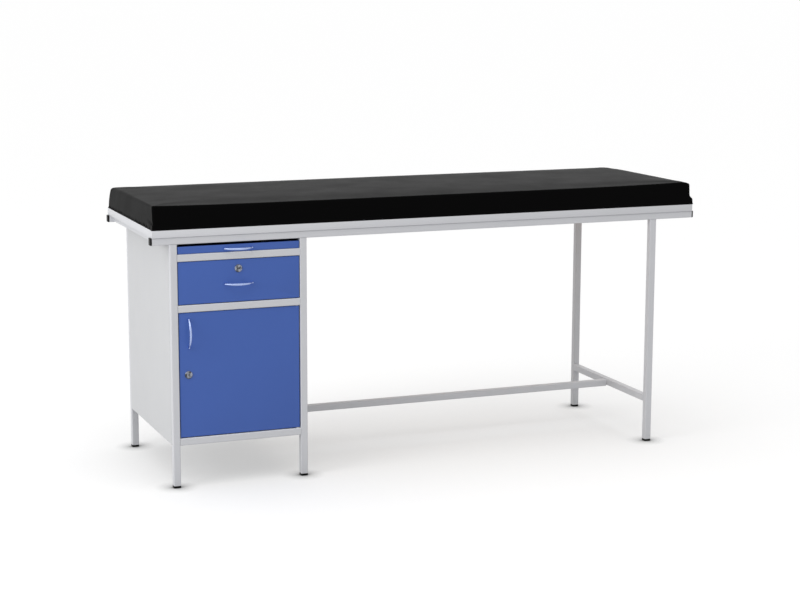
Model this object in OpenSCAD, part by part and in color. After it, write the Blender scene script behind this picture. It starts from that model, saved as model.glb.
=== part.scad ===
// Examination table: a tube frame with a padded bed, a cabinet under its left end with a pull-out
// tray, a drawer and a door, and an H-shaped pair of legs under its right end.
// The origin is on the floor, under the middle of the whole object. X runs along the bed to the
// right, Y from front to back, and Z up.

/* [Bed frame] */
// Length of the bed frame
bed_l = 1830; // [1500:10:2100]
// Depth of the bed frame, front to back
bed_w = 585; // [500:5:750]
// Height of the bed frame's top above the floor
bed_h = 794.5; // [740:0.5:900]
// Height of the angle irons round the deck board
angle_h = 22.5; // [18:0.5:30]
// Width of the angle irons' lower flange
angle_flange = 22; // [18:1:30]
// Thickness of the angle irons
angle_t = 3; // [3:0.5:5]
// Set-back of the rails behind the angle irons, front and rear
rail_inset = 3; // [0:0.5:6]
// Distance from each end of the bed to its end bearer
end_bearer_inset = 17; // [5:1:24]
// Gap round the deck board inside the angle irons
board_gap = 0.5; // [0.3:0.1:2]

/* [Square tube] */
// Side of every square tube
tube = 22; // [20:0.5:25]
// Wall of every square tube
tube_wall = 1.2; // [1:0.1:1.6]
// Outer corner radius of every square tube
tube_r = 2.5; // [2:0.5:4]
// Thickness of the rail end caps outside the tube
cap_head = 5; // [2:0.5:8]
// Height of the foot caps below the legs
foot_h = 7; // [4:0.5:15]
// Length of a cap's plug inside its tube
cap_plug = 14; // [8:1:25]
// Clearance round a cap's plug
cap_fit = 0.1; // [0.05:0.05:0.3]

/* [Legs] */
// Set-back of the front legs behind the bed frame's front
leg_front_inset = 3; // [0:0.5:8]
// Set-back of the rear legs inside the bed frame's rear
leg_rear_inset = 25; // [0:0.5:40]
// Distance from the right end of the bed to the H-frame's legs
h_overhang = 132; // [60:1:300]
// Height of the H-frame crossbar's underside
crossbar_z = 134; // [60:1:300]
// Height of the long stretcher's underside
stretcher_z = 130; // [60:1:131]
// Distance of the stretcher's front face behind the bed frame's front
stretcher_y = 288; // [100:1:400]
// Diameter of the weld vent in the crossbar
vent_d = 5; // [3:0.5:8]

/* [Cabinet] */
// Distance from the left end of the bed to the cabinet
cabinet_inset = 54; // [50:1:200]
// Width of the cabinet over its legs
cabinet_w = 430; // [380:1:600]
// Height of the cabinet's underside above the floor
cabinet_z = 132; // [100:1:160]
// Height of the drawer's opening
drawer_bay_h = 133; // [124:1:145]
// Height of the tray's opening
tray_bay_h = 31; // [24:0.5:40]
// Thickness of the cabinet's sheet steel
sheet = 1.2; // [0.8:0.1:1.5]
// Width of the turned-in edges of the cabinet's panels
panel_return = 12; // [8:1:18]
// Height of the shelf above the locker's floor
shelf_rise = 190; // [80:1:280]
// Distance of the shelf's front edge behind the door opening
shelf_setback = 38; // [32:1:150]
// Height of the shelf's front lip and of the angles that carry it
shelf_lip = 15; // [8:1:25]

/* [Drawer, tray and door] */
// Set-back of the drawer's and tray's faces behind the legs' front faces
drawer_recess = 2; // [0:0.5:4]
// Set-back of the door's face behind the legs' front faces
door_recess = 3; // [1:0.5:4]
// Gap beside the drawer's and tray's faces
drawer_gap = 2; // [1:0.1:3]
// Gap beside the door at its lock edge and above it
door_gap = 2.5; // [2:0.1:4]
// Gap beside the door at its hinge edge
hinge_gap = 3; // [2.6:0.1:5]
// Depth of the drawer face's and tray face's turned-in edges
face_depth = 12; // [8:0.5:14]
// Depth of the door from its face to its back edge
door_t = 18; // [16:0.5:20]
// Depth of the drawer box behind its face
drawer_l = 480; // [300:5:500]
// Height of the drawer box's sides
drawer_side_h = 98; // [60:1:104]
// Depth of the tray behind its face
tray_l = 460; // [300:5:500]
// Height of the tray's face
tray_face_h = 22.5; // [18:0.1:26]
// Height of the tray's side walls
tray_side_h = 13; // [8:0.5:14]
// Room for a slide beside the drawer and the tray
slide_space = 12.7; // [11:0.1:16]
// Running gap between a slide's fixed and moving channels
run_gap = 0.3; // [0.2:0.05:0.6]
// Height of the drawer's slides
drawer_slide_h = 34; // [20:1:45]
// Height of the tray's slides
tray_slide_h = 13; // [10:0.5:14]
// Distance of the door's pivot behind its face and from its hinge edge
pivot_in = 6; // [5:0.5:6]
// Diameter of the door's pivot pins
pivot_d = 5; // [4:0.5:5.5]
// Radial clearance of a pivot pin in its bush
pivot_fit = 0.05; // [0.02:0.01:0.1]

/* [Handles and locks] */
// Distance between a handle's feet
handle_span = 84; // [60:1:120]
// Reach of a handle in front of its face
handle_reach = 28; // [22:0.5:40]
// Width of a handle's strap
strap_w = 7.5; // [5:0.5:10]
// Thickness of a handle's strap
strap_t = 4.5; // [3:0.5:5]
// Height of a handle's feet
handle_foot_h = 5; // [3:0.5:8]
// Offset of the tray's and the drawer's fittings from the middle of the bay, to the right
fittings_offset = -3; // [-60:1:60]
// Distance of the drawer's handle above the drawer's opening
drawer_handle_up = 58; // [30:1:80]
// Distance of the drawer's lock above the drawer's opening
drawer_lock_up = 104; // [100:1:106]
// Height of the tray's handle above its face's lower edge
tray_handle_up = 10.5; // [7:0.5:12]
// Distance of the door's handle from the door opening's left side
door_handle_in = 32; // [24:1:60]
// Distance of the door handle's middle below the door opening's head
door_handle_down = 65; // [50:1:120]
// Distance of the door's lock from the door opening's left side
door_lock_in = 30; // [26:1:34]
// Distance of the door's lock below the middle of the door's handle
door_lock_down = 127; // [80:1:160]
// Diameter of a lock's face
lock_face_d = 24; // [20:0.5:30]
// Diameter of a lock's barrel behind its face
lock_barrel_d = 19; // [17:0.5:20]
// Length of a lock's barrel behind its face
lock_barrel_l = 20; // [20:0.5:24]
// Diameter of a lock's turning plug
lock_plug_d = 12; // [10:0.5:13]
// Radial clearance of a plug in its barrel
lock_fit = 0.05; // [0.02:0.01:0.1]
// Length of a lock's cam from the lock's axis
cam_l = 40; // [37:1:44]
// Width of a lock's cam
cam_w = 14; // [12:1:16]

/* [Mattress] */
// Height of the mattress at its edges
pad_h = 72; // [50:1:100]
// Rise of the mattress from its edges to its middle
pad_crown = 3; // [0:0.5:12]
// Radius of the mattress's corners seen from above
pad_corner_r = 8; // [6:1:40]
// How far the top edge is drawn in at the left end
pad_lean_left = 3; // [0:1:20]
// How far the top edge is drawn in at the right end
pad_lean_right = 10; // [0:1:20]
// How far the top edge is drawn in at the front and rear
pad_lean_side = 1; // [0:0.5:10]
// How far the lower seam is drawn in all round
pad_hem = 0; // [0:0.5:6]
// Radius of the rolled top edge at the left and right ends
pad_roll_end = 14; // [6:1:24]
// Radius of the rolled top edge at the front and rear
pad_roll_side = 7; // [4:1:20]

/* [Hidden] */

// Colours as the photograph shows them
frame_white = "#e4e6ea";
panel_grey = "#d6d8da";
cabinet_blue = "#4a64a8";
cap_black = "#1c1c1e";
plated = "#b9bcc2";
vinyl_black = "#2b2b2a";
wood = "#c9a878";
bush_white = "#e8e8e6";

// Bed frame
face_inset = leg_front_inset + drawer_recess;
handle_overhang = handle_reach - face_inset;
left_x = -bed_l / 2;
right_x = bed_l / 2;
front_y = (handle_overhang - bed_w) / 2;
rear_y = front_y + bed_w;
rail_top = bed_h - angle_h;
rail_z = rail_top - tube;
front_rail_y = front_y + rail_inset;
rear_rail_y = rear_y - rail_inset - tube;
board_z = rail_top + angle_t;
board_t = bed_h - board_z;

// Legs and cabinet
leg_y = front_y + leg_front_inset;
rear_leg_y = rear_y - leg_rear_inset - tube;
behind_legs = leg_y + tube;
back_y = rear_leg_y + tube;
h_x = right_x - h_overhang - tube;
cab_x = left_x + cabinet_inset;
cab_end = cab_x + cabinet_w;
bay_x = cab_x + tube;
bay_end = cab_end - tube;
bay_w = bay_end - bay_x;
sill_z = cabinet_z + tube;
tray_z = rail_z - tray_bay_h;
drawer_head_z = tray_z - tube;
drawer_z = drawer_head_z - drawer_bay_h;
head_z = drawer_z - tube;
shelf_z = sill_z + shelf_rise;
in_left = cab_x + sheet;
in_right = cab_end - sheet;
bearer_x = [cab_x, bay_end, (bay_end + h_x) / 2, h_x];
bearer_y = front_rail_y + tube;
bearer_z = board_z - tube;
bearer_l = rear_rail_y - bearer_y;

// Drawer and tray
drawer_gap_top = 1.5;
drawer_lift = 8;
drawer_slide_up = 20;
tray_gap_low = 0.8;
runner_gap_front = 1;
runner_gap_side = 1.5;
face_y = front_y + face_inset;
face_back = face_y + face_depth;
face_x = bay_x + drawer_gap;
face_w = bay_w - 2 * drawer_gap;
box_x = bay_x + slide_space;
box_w = bay_w - 2 * slide_space;
runner_y = face_back + runner_gap_front;
runner_l = back_y - panel_return - runner_y;
runner_depth = slide_space - runner_gap_side;
drawer_floor = drawer_z + drawer_lift;
drawer_face_z = drawer_z + drawer_gap;
drawer_face_h = drawer_bay_h - drawer_gap - drawer_gap_top;
drawer_slide_z = drawer_floor + drawer_slide_up;
box_wall_h = drawer_lock_up - drawer_lift + lock_face_d / 2;
tray_face_z = tray_z + tray_gap_low;
tray_floor = tray_face_z + sheet;
tray_slide_z = tray_floor;
handle_x = (bay_x + bay_end) / 2 + fittings_offset;

// Door
door_gap_low = 2.5;
door_gap_top = 1.5;
door_y = leg_y + door_recess;
door_x = bay_x + door_gap;
door_end = bay_end - hinge_gap;
door_z = sill_z + door_gap_low;
door_top = head_z - door_gap_top;
handle_z = head_z - door_handle_down;
pivot_x = door_end - pivot_in;
pivot_y = door_y + pivot_in;
bush_wall = 1.5;
bush_rim = 1;
bush_d = pivot_d + 2 * (pivot_fit + bush_wall);
bush_collar = bush_d + 2 * bush_rim;
bush_l = 8;
pin_grip = 24;

// Small fasteners and lock details
screw_d = 4;
screw_fit = 0.02;
screw_head_d = 8;
screw_head_h = 2.4;
handle_screw_bite = 4;
foot_d = strap_w + 1.5;
lock_face_t = 2.5;
lock_head_d = lock_plug_d + 3;
lock_head_t = 1.8;
cam_t = 2.5;
cam_gap = 0.8;
tail = 6;
tail_fit = 0.05;
key_slot = [9, 5, 1.4];
nut_w = lock_barrel_d + 6;
nut_t = 4;
deck_screw_l = 30;

// Cross-section of a square bar with rounded corners, its corner at the origin
module round_square(size, r) {
    translate([r, 0])
        square([size - 2 * r, size]);
    translate([0, r])
        square([size, size - 2 * r]);
    for (x = [r, size - r], y = [r, size - r])
        translate([x, y])
            circle(r, $fn = 32);
}

module tube_section() {
    difference() {
        round_square(tube, tube_r);
        translate([tube_wall, tube_wall])
            round_square(tube - 2 * tube_wall, tube_r - tube_wall);
    }
}

// Square tubes along X, Y and Z from their low corner
module tube_x(at, l) {
    translate(at)
        rotate([90, 0, 90])
            linear_extrude(l)
                tube_section();
}

module tube_y(at, l) {
    translate(at + [0, l, 0])
        rotate([90, 0, 0])
            linear_extrude(l)
                tube_section();
}

module tube_z(at, l) {
    translate(at)
        linear_extrude(l)
            tube_section();
}

// Cap for a tube that starts at z = 0 and runs up
module cap(head) {
    plug_wall = tube_wall + cap_fit;
    translate([0, 0, -head])
        linear_extrude(head)
            round_square(tube, tube_r);
    translate([plug_wall, plug_wall, 0])
        linear_extrude(cap_plug)
            round_square(tube - 2 * plug_wall, tube_r - plug_wall);
}

module rod_y(at, d, l) {
    translate(at)
        rotate([-90, 0, 0])
            cylinder(h = l, d = d, $fn = 48);
}

module rod_z(at, d, l) {
    translate(at)
        cylinder(h = l, d = d, $fn = 48);
}

// Bed frame
module front_rail() {
    color(frame_white)
        tube_x([left_x, front_rail_y, rail_z], bed_l);
}

module rear_rail() {
    color(frame_white)
        tube_x([left_x, rear_rail_y, rail_z], bed_l);
}

module rail_end_caps() {
    color(cap_black)
        for (y = [front_rail_y, rear_rail_y]) {
            translate([left_x, y, rail_z])
                rotate([90, 0, 90])
                    cap(cap_head);
            translate([right_x, y + tube, rail_z])
                rotate([90, 0, -90])
                    cap(cap_head);
        }
}

// Angle iron along X with its upright outside and both ends mitred
module angle_iron(l) {
    r = angle_t / 3;
    intersection() {
        rotate([90, 0, 90])
            linear_extrude(l) {
                translate([r, 0])
                    square([angle_flange - r, angle_t]);
                translate([0, r])
                    square([angle_t, angle_h - r]);
                translate([r, r])
                    circle(r, $fn = 32);
            }
        linear_extrude(angle_h)
            polygon([[0, 0], [l, 0], [l - angle_flange, angle_flange], [angle_flange, angle_flange]]);
    }
}

module front_angle() {
    color(frame_white)
        translate([left_x, front_y, rail_top])
            angle_iron(bed_l);
}

module rear_angle() {
    color(frame_white)
        translate([right_x, rear_y, rail_top])
            rotate(180)
                angle_iron(bed_l);
}

module left_angle() {
    color(frame_white)
        translate([left_x, rear_y, rail_top])
            rotate(-90)
                angle_iron(bed_w);
}

module right_angle() {
    color(frame_white)
        translate([right_x, front_y, rail_top])
            rotate(90)
                angle_iron(bed_w);
}

// Places each deck screw: three on every bearer
module on_deck_screws() {
    for (x = bearer_x, side = [0.12, 0.5, 0.88])
        translate([x + tube / 2, bearer_y + bearer_l * side, 0])
            children();
}

// Countersunk screw, or the hole for one, with its head flush with the board
module deck_screw(d, head) {
    neck_z = (d - head) / 2;
    translate([0, 0, bed_h])
        rotate_extrude($fn = 32)
            polygon([[0, 0], [head / 2, 0], [d / 2, neck_z], [d / 2, -deck_screw_l], [0, -deck_screw_l]]);
}

module deck_board() {
    inset = angle_t + board_gap;
    color(wood)
        difference() {
            translate([left_x + inset, front_y + inset, board_z])
                cube([bed_l - 2 * inset, bed_w - 2 * inset, board_t]);
            on_deck_screws()
                deck_screw(screw_d + 2 * screw_fit, screw_head_d + 2 * screw_fit);
        }
}

module deck_screws() {
    color(plated)
        on_deck_screws()
            deck_screw(screw_d, screw_head_d);
}

// Bearer under the deck board between the two rails, drilled for its deck screws
module bearer(index) {
    color(frame_white)
        difference() {
            tube_y([bearer_x[index], bearer_y, bearer_z], bearer_l);
            on_deck_screws()
                translate([0, 0, board_z - tube / 2])
                    cylinder(h = tube, d = screw_d + 2 * screw_fit, $fn = 32);
        }
}

// Bearer under an end angle iron
module end_bearer(x) {
    color(frame_white)
        tube_y([x, bearer_y, rail_z], bearer_l);
}

// Legs: the front ones reach up to the rail, and the rear ones to a bearer
module front_leg(x) {
    color(frame_white)
        tube_z([x, leg_y, foot_h], rail_z - foot_h);
}

module rear_leg(x) {
    color(frame_white)
        tube_z([x, rear_leg_y, foot_h], bearer_z - foot_h);
}

module h_frame_crossbar() {
    color(frame_white)
        difference() {
            tube_y([h_x, behind_legs, crossbar_z], rear_leg_y - behind_legs);
            translate([h_x - 1, front_y + stretcher_y - vent_d, crossbar_z + vent_d])
                rotate([0, 90, 0])
                    cylinder(h = tube / 2, d = vent_d, $fn = 32);
        }
}

module stretcher() {
    color(frame_white)
        tube_x([cab_end, front_y + stretcher_y, stretcher_z], h_x - cab_end);
}

module foot_caps() {
    color(cap_black)
        for (x = [cab_x, bay_end, h_x], y = [leg_y, rear_leg_y])
            translate([x, y, foot_h])
                cap(foot_h);
}

// Cabinet frame
module locker_sill_rail() {
    color(frame_white)
        difference() {
            tube_x([bay_x, leg_y, cabinet_z], bay_w);
            rod_z([pivot_x, pivot_y, sill_z - tube / 2], bush_d + 2 * screw_fit, tube);
        }
}

module locker_head_rail() {
    color(frame_white)
        difference() {
            tube_x([bay_x, leg_y, head_z], bay_w);
            rod_z([pivot_x, pivot_y, head_z - tube / 2], bush_d + 2 * screw_fit, tube);
        }
}

module drawer_head_rail() {
    color(frame_white)
        tube_x([bay_x, leg_y, drawer_head_z], bay_w);
}

// Side panel between two legs, with its edges turned in against them
module side_panel(outer, inward) {
    l = rear_leg_y - behind_legs;
    h = bearer_z - cabinet_z;
    color(panel_grey)
        translate([outer, behind_legs, cabinet_z])
            mirror([inward < 0 ? 1 : 0, 0, 0]) {
                cube([sheet, l, h]);
                for (y = [0, l - sheet])
                    translate([0, y, 0])
                        cube([panel_return, sheet, h]);
            }
}

module cabinet_left_panel() {
    side_panel(cab_x, 1);
}

module cabinet_right_panel() {
    side_panel(cab_end, -1);
}

module cabinet_back_panel() {
    h = bearer_z - cabinet_z;
    color(panel_grey)
        translate([bay_x, back_y, cabinet_z]) {
            translate([0, -sheet, 0])
                cube([bay_w, sheet, h]);
            for (x = [0, bay_w - sheet])
                translate([x, -panel_return, 0])
                    cube([sheet, panel_return, h]);
        }
}

// Floor sheet notched round the legs, with its edges turned down
module cabinet_floor() {
    side_l = rear_leg_y - behind_legs - 2 * sheet;
    color(panel_grey) {
        translate([bay_x + sheet, behind_legs, sill_z - sheet])
            cube([bay_w - 2 * sheet, back_y - sheet - behind_legs, sheet]);
        for (x = [in_left, in_right - tube - sheet])
            translate([x, behind_legs + sheet, sill_z - sheet])
                cube([tube + sheet, side_l, sheet]);
        for (x = [in_left, in_right - sheet])
            translate([x, behind_legs + sheet, cabinet_z])
                cube([sheet, side_l, tube]);
        translate([bay_x + sheet, back_y - 2 * sheet, cabinet_z])
            cube([bay_w - 2 * sheet, sheet, tube]);
    }
}

module locker_shelf() {
    shelf_y = behind_legs + shelf_setback;
    shelf_l = rear_leg_y - sheet - shelf_y;
    color(panel_grey)
        translate([in_left, shelf_y, shelf_z]) {
            cube([in_right - in_left, shelf_l, sheet]);
            translate([0, 0, -shelf_lip])
                cube([in_right - in_left, sheet, shelf_lip]);
        }
}

module shelf_angles() {
    shelf_y = behind_legs + shelf_setback + sheet;
    l = rear_leg_y - sheet - shelf_y;
    color(panel_grey)
        for (side = [0, 1])
            translate([side == 0 ? in_left : in_right, shelf_y, shelf_z])
                mirror([side, 0, 0]) {
                    translate([0, 0, -shelf_lip])
                        cube([sheet, l, shelf_lip]);
                    translate([0, 0, -sheet])
                        cube([shelf_lip, l, sheet]);
                }
}

// Channel along Y with its web at x = 0 and its open side towards +X
module channel(l, h, depth) {
    cube([sheet, l, h]);
    for (z = [0, h - sheet])
        translate([0, 0, z])
            cube([depth, l, sheet]);
}

// A fixed channel on each side of the bay
module runners(z, h) {
    color(plated)
        for (side = [0, 1])
            translate([side == 0 ? bay_x : bay_end, runner_y, z])
                mirror([side, 0, 0])
                    channel(runner_l, h, runner_depth);
}

// The moving channels, back to back with the runners and inside them
module slides(z, h, l) {
    inner_h = h - 2 * (sheet + run_gap);
    depth = slide_space - sheet - run_gap;
    color(plated)
        for (side = [0, 1])
            translate([side == 0 ? box_x : box_x + box_w, runner_y, z + sheet + run_gap])
                mirror([1 - side, 0, 0])
                    channel(l + face_back - runner_y, inner_h, depth);
}

module drawer_runners() {
    runners(drawer_slide_z, drawer_slide_h);
}

module tray_runners() {
    runners(tray_slide_z, tray_slide_h);
}

// Collared bushes for the door's pins, in the sill and the head rail
module bush(collar_t) {
    difference() {
        union() {
            rod_z([0, 0, 0], bush_collar, collar_t);
            rod_z([0, 0, -bush_l], bush_d, bush_l);
        }
        rod_z([0, 0, -bush_l - 1], pivot_d + 2 * pivot_fit, bush_l + collar_t + 2);
    }
}

module door_pivot_bushes() {
    color(bush_white) {
        translate([pivot_x, pivot_y, sill_z])
            bush(door_z - sill_z - run_gap);
        translate([pivot_x, pivot_y, head_z])
            mirror([0, 0, 1])
                bush(head_z - door_top - run_gap);
    }
}

// Bow handle across X: its feet stand on the face at y = 0 and it reaches towards -Y
module bow_handle() {
    half = handle_span / 2;
    rise = handle_reach - strap_t / 2 - handle_foot_h;
    bow_r = (half * half + rise * rise) / (2 * rise);
    half_angle = asin(half / bow_r);
    color(plated)
        difference() {
            union() {
                translate([0, bow_r - rise - handle_foot_h, 0])
                    rotate(-90 - half_angle)
                        rotate_extrude(angle = 2 * half_angle, $fn = 128)
                            translate([bow_r, 0]) {
                                square([strap_t, strap_w - strap_t], center = true);
                                for (z = [-1, 1])
                                    translate([0, z * (strap_w - strap_t) / 2])
                                        circle(d = strap_t, $fn = 32);
                            }
                for (x = [-half, half]) {
                    rod_y([x, -handle_foot_h, 0], foot_d, handle_foot_h);
                    translate([x, -handle_foot_h, 0])
                        sphere(d = foot_d, $fn = 48);
                }
            }
            handle_screw_holes(handle_screw_bite);
        }
}

// Holes for a handle's two screws, from inside its feet to behind the face
module handle_screw_holes(behind) {
    for (x = [-handle_span / 2, handle_span / 2])
        rod_y([x, -handle_screw_bite, 0], screw_d + 2 * screw_fit, handle_screw_bite + behind);
}

// A handle's two screws, with their heads on the sheet that ends at y = grip
module handle_screw_pair(grip) {
    color(plated)
        for (x = [-handle_span / 2, handle_span / 2]) {
            rod_y([x, -handle_screw_bite, 0], screw_d, handle_screw_bite + grip);
            rod_y([x, grip, 0], screw_head_d, screw_head_h);
        }
}

// Cam lock about the Y axis through the origin, on a face at y = 0.
// The nut clamps the barrel from behind, on the sheet that ends at y = grip.
module lock_barrel(grip) {
    color(plated)
        difference() {
            union() {
                translate([0, -lock_face_t, 0])
                    rotate([-90, 0, 0])
                        cylinder(h = 1, d1 = lock_face_d - 2, d2 = lock_face_d, $fn = 64);
                rod_y([0, 1 - lock_face_t, 0], lock_face_d, lock_face_t - 1);
                rod_y([0, 0, 0], lock_barrel_d, lock_barrel_l);
                translate([0, grip, 0])
                    rotate([-90, 0, 0])
                        cylinder(h = nut_t, d = nut_w, $fn = 6);
            }
            rod_y([0, -lock_face_t - 1, 0], lock_plug_d + 2 * lock_fit, lock_barrel_l + lock_face_t + 2);
            rod_y([0, -lock_face_t - 1, 0], lock_head_d + 2 * lock_fit, lock_head_t + 1.2);
        }
}

module lock_plug() {
    plug_l = lock_barrel_l + cam_gap;
    color(plated)
        difference() {
            union() {
                rod_y([0, -lock_face_t, 0], lock_head_d, lock_head_t);
                rod_y([0, lock_head_t - lock_face_t, 0], lock_plug_d, plug_l + lock_face_t - lock_head_t);
                translate([-tail / 2, plug_l, -tail / 2])
                    cube([tail, cam_t, tail]);
                rod_y([0, plug_l + cam_t, 0], screw_head_d + 2, screw_head_h);
            }
            translate([-key_slot[0] / 2, -lock_face_t - 1, -key_slot[2] / 2])
                cube([key_slot[0], key_slot[1] + 1, key_slot[2]]);
        }
}

// Cam plate along +X with a square hole for the plug's tail
module lock_cam() {
    hole = tail + 2 * tail_fit;
    color(plated)
        translate([0, lock_barrel_l + cam_gap + cam_t, 0])
            rotate([90, 0, 0])
                linear_extrude(cam_t)
                    difference() {
                        union() {
                            circle(d = cam_w, $fn = 48);
                            translate([0, -cam_w / 2])
                                square([cam_l - cam_w / 2, cam_w]);
                            translate([cam_l - cam_w / 2, 0])
                                circle(d = cam_w, $fn = 48);
                        }
                        square(hole, center = true);
                    }
}

// Tray: its face is folded back at both ends and below
module at_tray_handle() {
    translate([handle_x, face_y, tray_face_z + tray_handle_up])
        children();
}

module tray_face() {
    color(cabinet_blue)
        difference() {
            translate([face_x, face_y, tray_face_z]) {
                cube([face_w, sheet, tray_face_h]);
                cube([face_w, face_depth, sheet]);
                for (x = [0, face_w - sheet])
                    translate([x, 0, 0])
                        cube([sheet, face_depth, tray_face_h]);
            }
            at_tray_handle()
                handle_screw_holes(sheet + 1);
        }
}

module tray_pan() {
    l = tray_l + face_depth - sheet;
    color(cabinet_blue)
        translate([box_x, face_y + sheet, tray_floor]) {
            cube([box_w, l, sheet]);
            for (x = [0, box_w - sheet])
                translate([x, face_depth - sheet, 0])
                    cube([sheet, tray_l, tray_side_h]);
            translate([0, l - sheet, 0])
                cube([box_w, sheet, tray_side_h]);
        }
}

module tray_slides() {
    slides(tray_slide_z, tray_slide_h, tray_l);
}

module tray_handle() {
    at_tray_handle()
        bow_handle();
}

module tray_handle_screws() {
    at_tray_handle()
        handle_screw_pair(sheet);
}

// Drawer
module at_drawer_handle() {
    translate([handle_x, face_y, drawer_z + drawer_handle_up])
        children();
}

module at_drawer_lock() {
    translate([handle_x, face_y, drawer_z + drawer_lock_up])
        children();
}

module drawer_face() {
    color(cabinet_blue)
        difference() {
            translate([face_x, face_y, drawer_face_z])
                difference() {
                    cube([face_w, face_depth, drawer_face_h]);
                    translate([sheet, sheet, sheet])
                        cube([face_w - 2 * sheet, face_depth, drawer_face_h - 2 * sheet]);
                }
            at_drawer_handle()
                handle_screw_holes(sheet + 1);
            at_drawer_lock()
                rod_y([0, -1, 0], lock_barrel_d + 2 * lock_fit, sheet + 2);
        }
}

module drawer_box() {
    color(cabinet_blue)
        difference() {
            translate([box_x, face_back, drawer_floor]) {
                cube([box_w, drawer_l, sheet]);
                cube([box_w, sheet, box_wall_h]);
                translate([0, drawer_l - sheet, 0])
                    cube([box_w, sheet, drawer_side_h]);
                for (x = [0, box_w - sheet])
                    translate([x, 0, 0])
                        cube([sheet, drawer_l, drawer_side_h]);
            }
            at_drawer_handle()
                handle_screw_holes(face_depth + sheet + 1);
            at_drawer_lock()
                rod_y([0, 0, 0], lock_barrel_d + 2 * lock_fit, face_depth + sheet + 1);
        }
}

module drawer_slides() {
    slides(drawer_slide_z, drawer_slide_h, drawer_l);
}

module drawer_handle() {
    at_drawer_handle()
        bow_handle();
}

module drawer_handle_screws() {
    at_drawer_handle()
        handle_screw_pair(face_depth + sheet);
}

module drawer_lock_barrel() {
    at_drawer_lock()
        lock_barrel(face_depth + sheet);
}

module drawer_lock_plug() {
    at_drawer_lock()
        lock_plug();
}

module drawer_lock_cam() {
    at_drawer_lock()
        lock_cam();
}

// Door
module at_door_handle() {
    translate([bay_x + door_handle_in, door_y, handle_z])
        rotate([0, 90, 0])
            children();
}

module at_door_lock() {
    translate([bay_x + door_lock_in, door_y, handle_z - door_lock_down])
        rotate([0, 90, 0])
            children();
}

// Folded door with a drilled block for each pivot pin in its hinge corners
module door_panel() {
    block = 2 * (pivot_in - sheet);
    color(cabinet_blue)
        difference() {
            union() {
                difference() {
                    translate([door_x, door_y, door_z])
                        cube([door_end - door_x, door_t, door_top - door_z]);
                    translate([door_x + sheet, door_y + sheet, door_z + sheet])
                        cube([door_end - door_x - 2 * sheet, door_t, door_top - door_z - 2 * sheet]);
                }
                for (z = [door_z, door_top - pin_grip])
                    translate([pivot_x - block / 2, pivot_y - block / 2, z])
                        cube([block, block, pin_grip]);
            }
            for (z = [door_z - 1, door_top - pin_grip - 1])
                rod_z([pivot_x, pivot_y, z], pivot_d + 2 * screw_fit, pin_grip + 2);
            at_door_handle()
                handle_screw_holes(sheet + 1);
            at_door_lock()
                rod_y([0, -1, 0], lock_barrel_d + 2 * lock_fit, sheet + 2);
        }
}

module door_pivot_pins() {
    pin_l = pin_grip + bush_l;
    color(plated) {
        rod_z([pivot_x, pivot_y, sill_z - bush_l], pivot_d, pin_l);
        rod_z([pivot_x, pivot_y, head_z + bush_l - pin_l], pivot_d, pin_l);
    }
}

module door_handle() {
    at_door_handle()
        bow_handle();
}

module door_handle_screws() {
    at_door_handle()
        handle_screw_pair(sheet);
}

module door_lock_barrel() {
    at_door_lock()
        lock_barrel(sheet);
}

module door_lock_plug() {
    at_door_lock()
        lock_plug();
}

module door_lock_cam() {
    at_door_lock()
        lock_cam();
}

// Mattress: a grid over the top whose edge points run down the sides to a flat base.
// Places on it are given as u and v, from -1 to 1 along X and Y, and f, from 0 at the base to 1.
pad_cols = 32;
pad_rows = 12;
pad_bands = 4;

// Crowds the grid's lines towards the edges, where the form bends
function crowd(t) = sign(t) * (1 - pow(1 - abs(t), 2));
function pad_u(i) = crowd(2 * i / pad_cols - 1);
function pad_v(j) = crowd(2 * j / pad_rows - 1);

// Half sizes of the outline at height f
function seam_in(f) = pad_hem * pow(1 - f, 3);
function half_l(u, f) = bed_l / 2 - seam_in(f) - f * f * (u < 0 ? pad_lean_left : pad_lean_right);
function half_w(f) = bed_w / 2 - seam_in(f) - f * f * pad_lean_side;

// Pulls a point of the square outline's corner in to the corner's radius
function round_corner(p, hl, hw) =
    let (
        a = abs(p.x) - hl + pad_corner_r,
        b = abs(p.y) - hw + pad_corner_r,
        k = a > 0 && b > 0 ? max(a, b) / norm([a, b]) : 1
    )
    k == 1 ? p : [sign(p.x) * (hl - pad_corner_r + a * k), sign(p.y) * (hw - pad_corner_r + b * k)];

function pad_xy(u, v, f) = round_corner([u * half_l(u, f), v * half_w(f)], half_l(u, f), half_w(f));

// How far the top rolls down at a distance d from an edge
function roll(d, r) = d >= r ? 0 : r - sqrt(r * r - (r - d) * (r - d));
function edge_drop(u, v) = max(
    roll((1 - abs(u)) * half_l(u, 1), pad_roll_end * abs(u)),
    roll((1 - abs(v)) * half_w(1), pad_roll_side * abs(v))
);
function crown(u, v) = pad_crown * (1 - pow(u, 4)) * (1 - pow(v, 4));
function pad_top_z(u, v) = pad_h + crown(u, v) - edge_drop(u, v);

function pad_point(u, v, f, z) = let (p = pad_xy(u, v, f)) [p.x, p.y + (front_y + rear_y) / 2, bed_h + z];

// The grid's edge places in order round the outline
pad_edge = concat(
    [for (i = [0:pad_cols - 1]) [i, 0]],
    [for (j = [0:pad_rows - 1]) [pad_cols, j]],
    [for (i = [pad_cols:-1:1]) [i, pad_rows]],
    [for (j = [pad_rows:-1:1]) [0, j]]
);
pad_loop = len(pad_edge);
top_count = (pad_cols + 1) * (pad_rows + 1);
function top_index(c) = c[0] * (pad_rows + 1) + c[1];
// Points of band b: band 0 is the top's own edge and band pad_bands the base
function band_index(b, k) = b == 0 ? top_index(pad_edge[k % pad_loop])
                                   : top_count + (b - 1) * pad_loop + k % pad_loop;

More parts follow.
